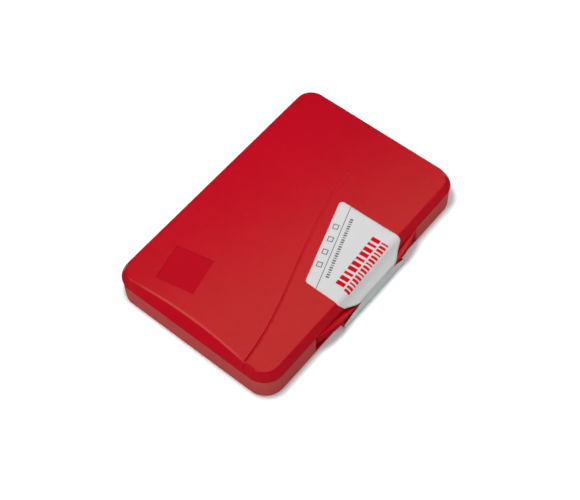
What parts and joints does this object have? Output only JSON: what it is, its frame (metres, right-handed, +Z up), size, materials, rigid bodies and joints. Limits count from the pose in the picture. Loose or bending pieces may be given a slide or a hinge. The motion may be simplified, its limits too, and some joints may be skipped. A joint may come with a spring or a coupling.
{
  "type": "ink pad",
  "caption": "Hinged moulded ink pad case with a cloth-covered foam pad in a clip-in cup and a slit paper seal over the thumb lip.",
  "frame": {"origin": "centre of the closed case's footprint, on the surface it stands on", "axes": "+X along the long side to the right, -Y towards the thumb lip at the front, +Z up"},
  "size_m": [0.108, 0.0757, 0.0139],
  "materials": {
    "case_plastic": "satin, fine grain",
    "cup_plastic": "matt",
    "pin_steel": "drawn wire",
    "foam": "open cell, ink soaked",
    "cloth": "plain weave, ink soaked",
    "glue": "clear film",
    "seal_paper": "coated, printed"
  },
  "bodies": {
    "base": {"base_tray": "case_plastic", "hinge_pin_left": "pin_steel", "hinge_pin_right": "pin_steel", "pad_cup": "cup_plastic", "glue_film": "glue", "pad_foam": "foam", "pad_cover": "cloth", "seal_base_half": "seal_paper"},
    "lid": {"lid_shell": "case_plastic", "seal_lid_half": "seal_paper"}
  },
  "joints": [
    {"name": "lid_hinge", "type": "hinge", "parent": "base", "child": "lid", "pos_m": [0, 0.036, 0.0044], "axis": [-1, 0, 0], "range_deg": [0, 110]}
  ]
}
